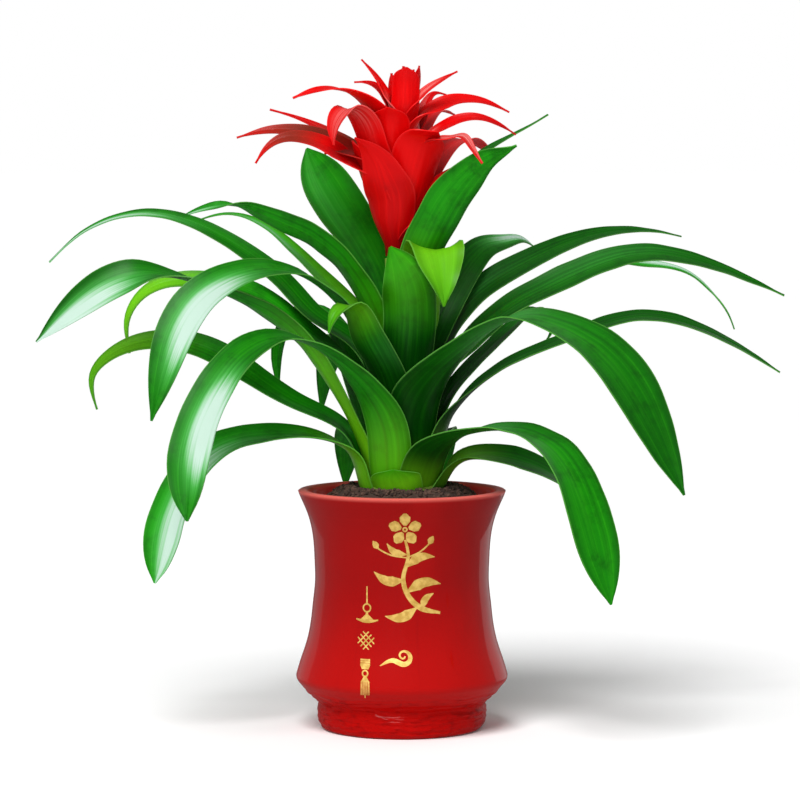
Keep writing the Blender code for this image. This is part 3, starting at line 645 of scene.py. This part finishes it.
def spline(points, start, count):
    """Evenly stepped points along a smooth curve that leaves the first of points in the start direction."""
    points = np.array(points, float)
    spans = np.linalg.norm(np.diff(points, axis=0), axis=1)
    last = len(points) - 1
    rows = np.zeros((last + 1, last + 1))
    wanted = np.zeros((last + 1, points.shape[1]))
    rows[0, 0] = 1
    wanted[0] = start
    for i in range(1, last):
        before, after = spans[i - 1], spans[i]
        rows[i, i - 1 : i + 2] = after, 2 * (before + after), before
        wanted[i] = 3 * (
            after * (points[i] - points[i - 1]) / before + before * (points[i + 1] - points[i]) / after
        )
    rows[last, last - 1 : last + 1] = 1, 2
    wanted[last] = 3 * (points[last] - points[last - 1]) / spans[-1]
    slopes = np.linalg.solve(rows, wanted)
    ends = np.concatenate([[0], np.cumsum(spans)])
    curve = []
    for distance in np.linspace(0, ends[-1], count):
        i = min(int(np.searchsorted(ends, distance, side="right")) - 1, last - 1)
        t = (distance - ends[i]) / spans[i]
        curve.append(
            (2 * t**3 - 3 * t**2 + 1) * points[i]
            + (t**3 - 2 * t**2 + t) * spans[i] * slopes[i]
            + (3 * t**2 - 2 * t**3) * points[i + 1]
            + (t**3 - t**2) * spans[i] * slopes[i + 1]
        )
    return [Vector(point) for point in curve]


def half_width(blade, blend, t):
    """Half the blade's width at the fraction t of its length, where its sheath has blended in so far."""
    broad = blade.sheath / 2 * (1 - blend) + blade.width / 2 * blend
    start, power = blade.taper
    narrowing = max(0, (t - start) / (1 - start))
    return max(broad * (1 - narrowing**power), TIP_HALF_WIDTH)


@dataclass
class Section:
    """The blade across one point of its midrib: an arc whose half angle is bend."""

    t: float
    run: float
    place: Vector
    broad: Vector
    inward: Vector
    widened: float
    bend: float
    radius: float


def blade_sections(blade, base, growth):
    """The blade's sections from its base to its tip.

    An arc goes round the growth's axis while the midrib is nearer to it than the first wrap distance,
    and is a shallow channel beyond the second one.
    """
    first_rise = Vector(blade.path[0]) - Vector(base)
    lean = min(max(first_rise.xy.length / first_rise.z, 0), MOST_LEAN)
    start = compass(blade.facing) * lean + Vector((0, 0, 1))
    rough = (Vector(blade.path[-1]) - Vector(base)).length + 20
    rows = max(FEWEST_ROWS, round(rough / growth.station) + 1)
    centre = spline([base, *blade.path], start, rows)
    lengths = [0]
    for a, b in zip(centre, centre[1:]):
        lengths.append(lengths[-1] + (b - a).length)
    heading = blade.heading
    if heading is None:
        away = centre[-1] - centre[0]
        heading = degrees(atan2(away.y, away.x))
    near, far = growth.wrap
    sections = []
    for row, (place, run) in enumerate(zip(centre, lengths)):
        t = run / lengths[-1]
        ahead = centre[min(row + 1, rows - 1)] - centre[row - 1] if row else start
        out = place - growth.axis(place.z)
        bearing = degrees(atan2(out.y, out.x))
        broad, inward = blade_directions(blade, heading, bearing, ahead.normalized(), t)
        widened = ease(run / growth.sheath_length)
        half = half_width(blade, widened, t)
        reach = out.xy.length
        flattened = ease((reach - near) / (far - near))
        bend = half / reach * (1 - flattened) + (CHANNEL_BEND - CHANNEL_EASING * t) * flattened
        sections.append(Section(t, run, place, broad, inward, widened, bend, half / bend))
    return sections


def blade_directions(blade, heading, bearing, ahead, t):
    """The broad and inward directions of a section: it turns from its bearing to its heading and rolls."""
    first, last = blade.turning
    turn = (heading - bearing + 180) % 360 - 180
    level = compass(bearing + turn * ease((t - first) / (last - first)) + 90)
    broad = (level - ahead * level.dot(ahead)).normalized()
    roll = radians(float(np.interp(t, (first, (first + last) / 2 + 0.2, 1), (0, *blade.roll))))
    broad = Matrix.Rotation(roll, 3, ahead) @ broad
    return broad, ahead.cross(broad)


def blade_surface(blade, base, growth, luck):
    """An open grid bent to the blade's surface, in metres, with its colouring and a UV map."""
    sections = blade_sections(blade, base, growth)
    middle, end, strength = blade.yellow or growth.yellow
    seed = Vector((luck.uniform(0, 99), luck.uniform(0, 99), 0))
    edge_wave = luck.uniform(0.3, 0.8) * growth.thickness
    grid = bmesh.new()
    tone = grid.verts.layers.float.new("tone")
    bloom = grid.verts.layers.float.new("bloom")
    yellow = grid.verts.layers.float.new("yellow")
    uv = grid.loops.layers.uv.new("blade")
    bmesh.ops.create_grid(grid, x_segments=growth.across, y_segments=len(sections) - 1, size=1)
    flat = {}
    for vertex in grid.verts:
        side = vertex.co.x
        at = sections[round((vertex.co.y + 1) / 2 * (len(sections) - 1))]
        flat[vertex] = (side / 2 + 0.5, at.t)
        rise = at.radius * (1 - cos(at.bend * side))
        rise += blade.wave * side * side * sin(tau * at.run / WAVE_LENGTH) * at.widened
        ripple = noise.noise(seed + Vector((side * 0.7, at.run / EDGE_RIPPLE, 0)))
        rise += edge_wave * ripple * at.widened * (0.4 + abs(side))
        rise -= CREASE_DEPTH * at.widened * exp(-((side / CREASE_REACH) ** 2))
        place = at.place + at.broad * at.radius * sin(at.bend * side) + at.inward * rise
        vertex.co = place * MM
        vertex[tone] = float(np.interp(at.t, (0.1, 0.5, 0.9), blade.tone))
        # Painted highlight: a pale sheen across the blade's middle, along the stretch given for each blade
        pale = exp(-(((side - PAINTED_SHEEN_MIDDLE) / PAINTED_SHEEN_REACH) ** 2))
        vertex[bloom] = blade.bloom[2] * hump(at.t, *blade.bloom[:2]) * pale
        vertex[yellow] = strength * hump(at.t, 2 * middle - end, end)
    for face in grid.faces:
        face.smooth = True
        for loop in face.loops:
            loop[uv].uv = flat[loop.vert]
    return grid


def new_object(name, mesh, *finishes):
    piece = bpy.data.objects.new(name, mesh)
    bpy.context.scene.collection.objects.link(piece)
    for finish in finishes:
        mesh.materials.append(finish)
    return piece


def thickened(name, grid, thickness, finish):
    """The grid as a solid piece of even thickness, its rim kept sharp."""
    mesh = bpy.data.meshes.new(name)
    grid.to_mesh(mesh)
    grid.free()
    rough = bpy.data.objects.new(name + "_rough", mesh)
    bpy.context.scene.collection.objects.link(rough)
    skin = rough.modifiers.new("thickness", "SOLIDIFY")
    skin.thickness = thickness * MM
    skin.offset = 0
    skin.use_quality_normals = True
    bpy.context.view_layer.update()
    solid = bpy.data.meshes.new_from_object(rough.evaluated_get(bpy.context.evaluated_depsgraph_get()))
    bpy.data.objects.remove(rough)
    bpy.data.meshes.remove(mesh)
    solid.name = name
    solid.set_sharp_from_angle(angle=radians(50))
    return new_object(name, solid, finish)


def settle(piece, slot, *nodes):
    """Put a piece on the plant's one body and in place of the nodes it stands for. Its slot is not used."""
    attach(piece, "root")
    if nodes:
        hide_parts(*nodes)


def make_leaves(finish):
    for number, leaf in enumerate(LEAVES):
        radius = RING_RADIUS - RING_STEP_IN * leaf.ring
        base = compass(leaf.facing) * radius
        base.z = RING_HEIGHT + RING_STEP_UP * leaf.ring
        grid = blade_surface(leaf, base, LEAF_GROWTH, Random(LEAF_SEED + number))
        piece = thickened(f"{leaf.name}_blade", grid, LEAF_GROWTH.thickness, finish)
        settle(piece, "leaf", leaf.name)


def core_radius(height):
    """The flower head core's radius at a height above its bottom."""
    outline = HEAD_CORE[::-1]
    return float(np.interp(height, [h for _, h in outline], [r for r, _ in outline]))


def lathe(outline, segments):
    """A turned shape from an outline of (radius, height) points that starts and ends on the axis."""
    turned = bmesh.new()
    corners = [turned.verts.new((radius * MM, 0, height * MM)) for radius, height in outline]
    for a, b in zip(corners, corners[1:]):
        turned.edges.new((a, b))
    bmesh.ops.spin(
        turned, geom=turned.verts[:] + turned.edges[:], cent=(0, 0, 0), axis=(0, 0, 1), angle=tau,
        steps=segments, use_merge=True, use_duplicate=False,
    )
    bmesh.ops.remove_doubles(turned, verts=turned.verts, dist=0.01 * MM)
    bmesh.ops.recalc_face_normals(turned, faces=turned.faces)
    for face in turned.faces:
        face.smooth = True
    return turned


def mesh_of(name, shape, sharp=None):
    mesh = bpy.data.meshes.new(name)
    shape.to_mesh(mesh)
    shape.free()
    if sharp:
        mesh.set_sharp_from_angle(angle=radians(sharp))
    return mesh


def make_flower_head(finish):
    run = Vector(HEAD_TOP) - Vector(HEAD_BOTTOM)
    outline = [(0, HEAD_CORE[0][1] + 1), *HEAD_CORE, (0, 0)]
    core = lathe(outline, 32)
    lean = Matrix.Rotation(atan2(run.x, run.z), 4, "Y")
    bmesh.ops.transform(core, matrix=Matrix.Translation(Vector(HEAD_BOTTOM) * MM) @ lean, verts=core.verts)
    settle(new_object("head_core", mesh_of("head_core", core), finish), "bract", "flower_head")
    for number, bract in enumerate(BRACTS):
        radius = core_radius(bract.ring)
        base = Vector(HEAD_BOTTOM) + run * (bract.ring / run.length) + compass(bract.facing) * radius * 0.75
        grid = blade_surface(bract, base, BRACT_GROWTH, Random(BRACT_SEED + number))
        piece = thickened(f"bract_{bract.name}", grid, BRACT_GROWTH.thickness, finish)
        settle(piece, "bract", "flower_head")


def outer_wall():
    """The pot's outer side from the lip down, with the body as a smooth curve."""
    body = spline([(x, y, 0) for x, y in BODY_OUTSIDE], (-0.3, -1, 0), 60)
    return [(p.x, p.y) for p in body] + SHOULDER + TAPER + FOOT


def outer_radius(height):
    """The pot's outer radius at a height."""
    wall = sorted((y, x) for x, y in outer_wall())
    return float(np.interp(height, [y for y, _ in wall], [x for _, x in wall]))


def even_steps(outline, step):
    """The outline with its longer runs cut into steps."""
    points = [outline[0]]
    for (x0, y0), (x1, y1) in zip(outline, outline[1:]):
        count = max(1, ceil(Vector((x1 - x0, y1 - y0)).length / step))
        points.extend((x0 + (x1 - x0) * i / count, y0 + (y1 - y0) * i / count) for i in range(1, count + 1))
    return points


def make_pot(finish):
    inside = [(outer_radius(h) - POT_WALL, h) for h in (*INSIDE_HEIGHTS, 155)]
    floor = [(0, POT_FLOOR), (52, POT_FLOOR), FLOOR_CORNER]
    foot = even_steps([SHOULDER[-1]] + TAPER + FOOT[:-1], 0.8)
    body = [point for point in outer_wall() if point[1] > SHOULDER[-1][1]]
    pot = lathe(floor + inside + LIP + body + foot + [FOOT[-1], (0, 0)], POT_SEGMENTS)
    for vertex in pot.verts:
        height = vertex.co.z / MM
        reach = vertex.co.xy.length / MM
        if 1 < height < RIPPLE_TOP and reach > outer_radius(height) - 2:
            around = atan2(vertex.co.y, vertex.co.x)
            fade = ease((RIPPLE_TOP - height) / 6)
            drift = noise.noise(Vector((cos(around) * 3, sin(around) * 3, height / 9)))
            swell = sin(tau * (height / RIPPLE_PITCH + 0.9 * drift)) * (0.6 + drift)
            vertex.co.xy *= 1 + RIPPLE_DEPTH * fade * swell / reach
    settle(new_object("glazed_pot", mesh_of("glazed_pot", pot, 40), finish), "glaze", "pot")


def soil_height(radius):
    """The mound's height at a distance from the plant's axis."""
    return float(np.interp(radius, [r for r, _ in SOIL_TOP], [h for _, h in SOIL_TOP]))


def make_soil(finish):
    side = [(outer_radius(h) - POT_WALL - SOIL_GAP, h) for h in reversed(INSIDE_HEIGHTS)]
    bed = [(FLOOR_CORNER[0] - SOIL_GAP, FLOOR_CORNER[1] + SOIL_GAP), (0, POT_FLOOR + SOIL_GAP)]
    hole = [(0, SOIL_HOLE_BOTTOM), (SOIL_TOP[0][0], SOIL_HOLE_BOTTOM)]
    soil = lathe(hole + even_steps(SOIL_TOP, 1.5) + side + bed, 120)
    tone = soil.verts.layers.float.new("tone")
    for vertex in soil.verts:
        if vertex.co.z > SOIL_ROUGH_FROM:
            vertex.co.z += SOIL_ROUGHNESS * MM * noise.noise(vertex.co * 180)
        vertex[tone] = 0.3
    settle(new_object("soil_bed", mesh_of("soil_bed", soil), finish), "soil", "soil")
    settle(new_object("soil_granules", mesh_of("soil_granules", granules()), finish), "soil")


def granules():
    """Crumbs strewn over the mound, each a small lump turned its own way."""
    luck = Random(CRUMB_SEED)
    crumbs = bmesh.new()
    tone = crumbs.verts.layers.float.new("tone")
    for _ in range(CRUMBS):
        radius = luck.uniform(CRUMB_SPAN[0] ** 2, CRUMB_SPAN[1] ** 2) ** 0.5
        size = luck.uniform(0.8, 1.7)
        place = compass(luck.uniform(0, 360)) * radius
        place.z = soil_height(radius) + size * luck.uniform(0.1, 0.5)
        turn = Euler([luck.uniform(0, tau) for _ in range(3)]).to_matrix().to_4x4()
        stretch = Matrix.Diagonal([size * luck.uniform(0.7, 1.2) * MM for _ in range(3)] + [1])
        made = bmesh.ops.create_icosphere(
            crumbs, subdivisions=1, radius=1, matrix=Matrix.Translation(place * MM) @ turn @ stretch
        )["verts"]
        shade = luck.random()
        for vertex in made:
            vertex.co += Vector([luck.uniform(-0.2, 0.2) * size * MM for _ in range(3)])
            vertex[tone] = shade
    return crumbs


def on_pot(across, height, proud):
    """A place on the pot's front at a distance round it from the centre line, in metres."""
    radius = outer_radius(height)
    angle = across / radius
    return Vector((sin(angle) * (radius + proud), -cos(angle) * (radius + proud), height)) * MM


def stroke(ink, points, widths, layer=0, closed=False):
    """A brush stroke in gold along points of (across, height), its widths spread evenly along it."""
    if closed:
        points = [*points, points[0]]
    path = [Vector((x, y, 0)) for x, y in points]
    length = sum((b - a).length for a, b in zip(path, path[1:]))
    rows = max(4, round(length / 0.8))
    if len(path) > 2:
        start = path[1] - path[-2] if closed else path[1] - path[0]
        path = spline(path, start.normalized(), rows)
    else:
        path = [path[0].lerp(path[1], i / (rows - 1)) for i in range(rows)]
    made = bmesh.ops.create_grid(ink, x_segments=4, y_segments=rows - 1, size=1)["verts"]
    for vertex in made:
        side = vertex.co.x
        row = round((vertex.co.y + 1) / 2 * (rows - 1))
        ahead = path[min(row + 1, rows - 1)] - path[max(row - 1, 0)]
        if closed and row in (0, rows - 1):
            ahead = path[1] - path[-2]
        across = Vector((-ahead.y, ahead.x, 0)).normalized()
        at = row / (rows - 1)
        width = float(np.interp(at, np.linspace(0, 1, len(widths)), widths))
        spot = path[row] - across * side * width / 2
        vertex.co = on_pot(spot.x, spot.y, GOLD_PROUD + GOLD_LAYER * layer)


def ring(ink, x, y, radius, width, layer=0):
    points = [(x + radius * cos(tau * i / 10), y + radius * sin(tau * i / 10)) for i in range(10)]
    stroke(ink, points, [width, width], layer, closed=True)


def make_ornaments(finish):
    drawings = (
        ("pendant", make_pendant), ("knot", make_knot), ("tassel", make_tassel), ("cloud", make_cloud),
        ("flower_spray", make_spray),
    )
    for name, draw in drawings:
        ink = bmesh.new()
        draw(ink)
        bmesh.ops.recalc_face_normals(ink, faces=ink.faces)
        outward = sum(face.normal.dot(Vector((0, -1, 0))) * face.calc_area() for face in ink.faces)
        if outward < 0:
            bmesh.ops.reverse_faces(ink, faces=ink.faces)
        piece = new_object(f"gold_{name}", mesh_of(f"gold_{name}", ink), finish)
        settle(piece, "glaze")


def make_pendant(ink):
    """A hanging thread with its ring and a little roof."""
    x = PENDANT_ACROSS
    stroke(ink, [(x, 102.5), (x, 91.2)], [0.8, 1.1])
    ring(ink, x, 88.3, 2.6, 1, 1)
    stroke(ink, [(x, 86), (x, 83.5)], [1, 2.2], 2)
    stroke(ink, [(x, 84), (x, 80.6)], [2, 9.5], 3)
    stroke(ink, [(x - 7.9, 80.9), (x - 4, 79.9), (x + 4, 79.8), (x + 7.9, 80.6)], [0.9, 2, 2, 0.8], 4)


def make_knot(ink):
    """Two crossed bands of three cords."""
    for turn, slant in enumerate((1, -1)):
        for offset in (-1.9, 0, 1.9):
            middle = Vector((PENDANT_ACROSS - 0.7 + offset * slant, KNOT_HEIGHT - offset))
            reach = Vector((3.9 * slant, 3.9))
            stroke(ink, [tuple(middle - reach), tuple(middle + reach)], [0.8, 0.8], turn)


def make_tassel(ink):
    """A banded block, a cup, a ring and hanging strands."""
    x = PENDANT_ACROSS - 1.1
    for row in range(3):
        stroke(ink, [(x - 3.4, 54.6 - 1.35 * row), (x + 3.4, 54.6 - 1.35 * row)], [1.1, 1.1], row)
    stroke(ink, [(x, 51.4), (x, 48.7)], [7.2, 4.6], 3)
    ring(ink, x, 46, 1.9, 1, 4)
    stroke(ink, [(x, 44), (x, 40.6)], [2, 6], 3)
    for offset in (-2.6, -1.3, 0, 1.3, 2.6):
        end = 29.6 if offset == 0 else 31.8
        stroke(ink, [(x + offset, 41), (x + offset * 1.05, end)], [0.85, 0.7], 4)


def make_cloud(ink):
    """A curled head that thins into a waving tail."""
    stroke(
        ink,
        [
            (-14.6, 51.2), (-10, 53.7), (-5.5, 54.7), (-1.6, 53.1), (2, 52.4), (4.9, 54.3), (5.2, 58),
            (2.6, 60.4), (-0.4, 60.2), (-1.6, 58.3), (-0.6, 56.4), (1.4, 56.1), (2, 57.5),
        ],
        [0.4, 1.5, 2.3, 3.1, 3.4, 3.3, 3.1, 2.9, 2.3, 1.4, 1.2, 1.1, 1],
    )


def make_spray(ink):
    """A branch with leaves, a blossom and buds, drawn with a brush."""
    stroke(ink, [(26, 85), (14, 88), (4, 97), (1, 110), (4, 122), (2, 134)], [1.6, 3.8, 3.4, 2.8, 2.2, 1.6])
    for x, y, facing, length, width in (
        (10, 89, 195, 22, 7), (3, 99, 12, 24, 7.4), (1.5, 107, 165, 21, 6.8), (3, 116, 18, 20, 6.4),
        (13, 88, 50, 13, 5), (3, 124, 150, 15, 5),
    ):
        away = compass(facing).xy
        bent = Vector((-away.y, away.x)) * 0.16 * length
        base = Vector((x, y))
        middle = base + away * length * 0.5 + bent
        tip = base + away * length
        stroke(ink, [tuple(base), tuple(middle), tuple(tip)], [0.7, width, width * 0.8, 0.4], 1)
    blossom = Vector((2, 141))
    for i in range(5):
        away = compass(90 + 72 * i).xy
        start = blossom + away * 2.6
        end = blossom + away * 11
        stroke(ink, [tuple(start), tuple(end)], [1.8, 6.6, 7.2, 2], 2 + i % 2)
    ring(ink, *blossom, 1.3, 1.1, 4)
    fork = Vector((3, 122))
    for x, y, facing in ((18, 131, 60), (-16, 128, 125)):
        away = compass(facing).xy
        base = Vector((x, y))
        sag = base * 0.55 + fork * 0.45 - Vector((0, 1.5))
        stroke(ink, [tuple(fork), tuple(sag), tuple(base)], [0.9, 1.1, 1])
        stroke(ink, [tuple(base), tuple(base + away * 6)], [1.2, 4.6, 3.6, 0.6], 1)


def make_stage():
    """The white floor and the white room, which is brighter to the camera than as light."""
    floor = bmesh.new()
    bmesh.ops.create_grid(floor, x_segments=1, y_segments=1, size=FLOOR_REACH)
    stage = new_object("floor", mesh_of("floor", floor), floor_finish())
    stage.visible_glossy = False
    sheet = Sheet(bpy.data.worlds.new("studio"), "Background", Color=(1, 1, 1))
    seen = sheet.add("ShaderNodeLightPath", {}, {}, "Is Camera Ray")
    strength = sheet.add(
        "ShaderNodeMapRange", {}, {"Value": seen, "To Min": ROOM_LIGHT, "To Max": BACKDROP_LIGHT}
    )
    bpy.context.scene.world = sheet.finish(Strength=strength)


def hang(name, light, place, target):
    """A lamp at a place, turned towards a target and hidden from the camera itself."""
    lamp = bpy.data.objects.new(name, light)
    bpy.context.scene.collection.objects.link(lamp)
    lamp.location = place
    lamp.rotation_euler = (Vector(target) - Vector(place)).to_track_quat("-Z", "Y").to_euler()
    lamp.visible_camera = False
    return lamp


def softbox(name, place, size, power):
    light = bpy.data.lights.new(name, "AREA")
    light.shape = "RECTANGLE"
    light.size, light.size_y = size
    light.energy = power
    return hang(name, light, place, (0, 0, 0.2))


def soft_sun(name, place, strength, spread):
    light = bpy.data.lights.new(name, "SUN")
    light.energy = strength
    light.angle = radians(spread)
    hang(name, light, place, (0, 0, 0))


def make_camera():
    data = bpy.data.cameras.new("photo_camera")
    data.lens = CAMERA_LENS
    data.clip_end = 200
    camera = bpy.data.objects.new("photo_camera", data)
    bpy.context.scene.collection.objects.link(camera)
    camera.location = Vector(CAMERA_PLACE) * MM
    aim = Vector(CAMERA_TARGET) - Vector(CAMERA_PLACE)
    camera.rotation_euler = aim.to_track_quat("-Z", "Y").to_euler()
    bpy.context.scene.camera = camera
    bpy.context.scene.view_settings.view_transform = "Standard"


def main():
    make_camera()
    make_stage()
    soft_sun("key", (-0.5, -1.6, 2), 3.1, 32)
    softbox("left_strip", (-0.85, 0.95, 0.35), (0.8, 1.1), 0.9)
    softbox("right_strip", (0.84, 1.0, 0.35), (0.9, 1.1), 2.2)
    fill = softbox("front_fill", (-0.5, -2.4, 0.3), (1.5, 1.2), 18)
    fill.visible_glossy = False
    leaf = leaf_finish()
    bract = bract_finish()
    stem = stem_finish()
    make_leaves(leaf)
    make_flower_head(bract)
    for node in ("crown_stem", "flower_stalk"):
        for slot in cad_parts[node].material_slots:
            slot.material = stem
    make_pot(glaze_finish())
    make_soil(soil_finish())
    make_ornaments(gold_finish())


main()
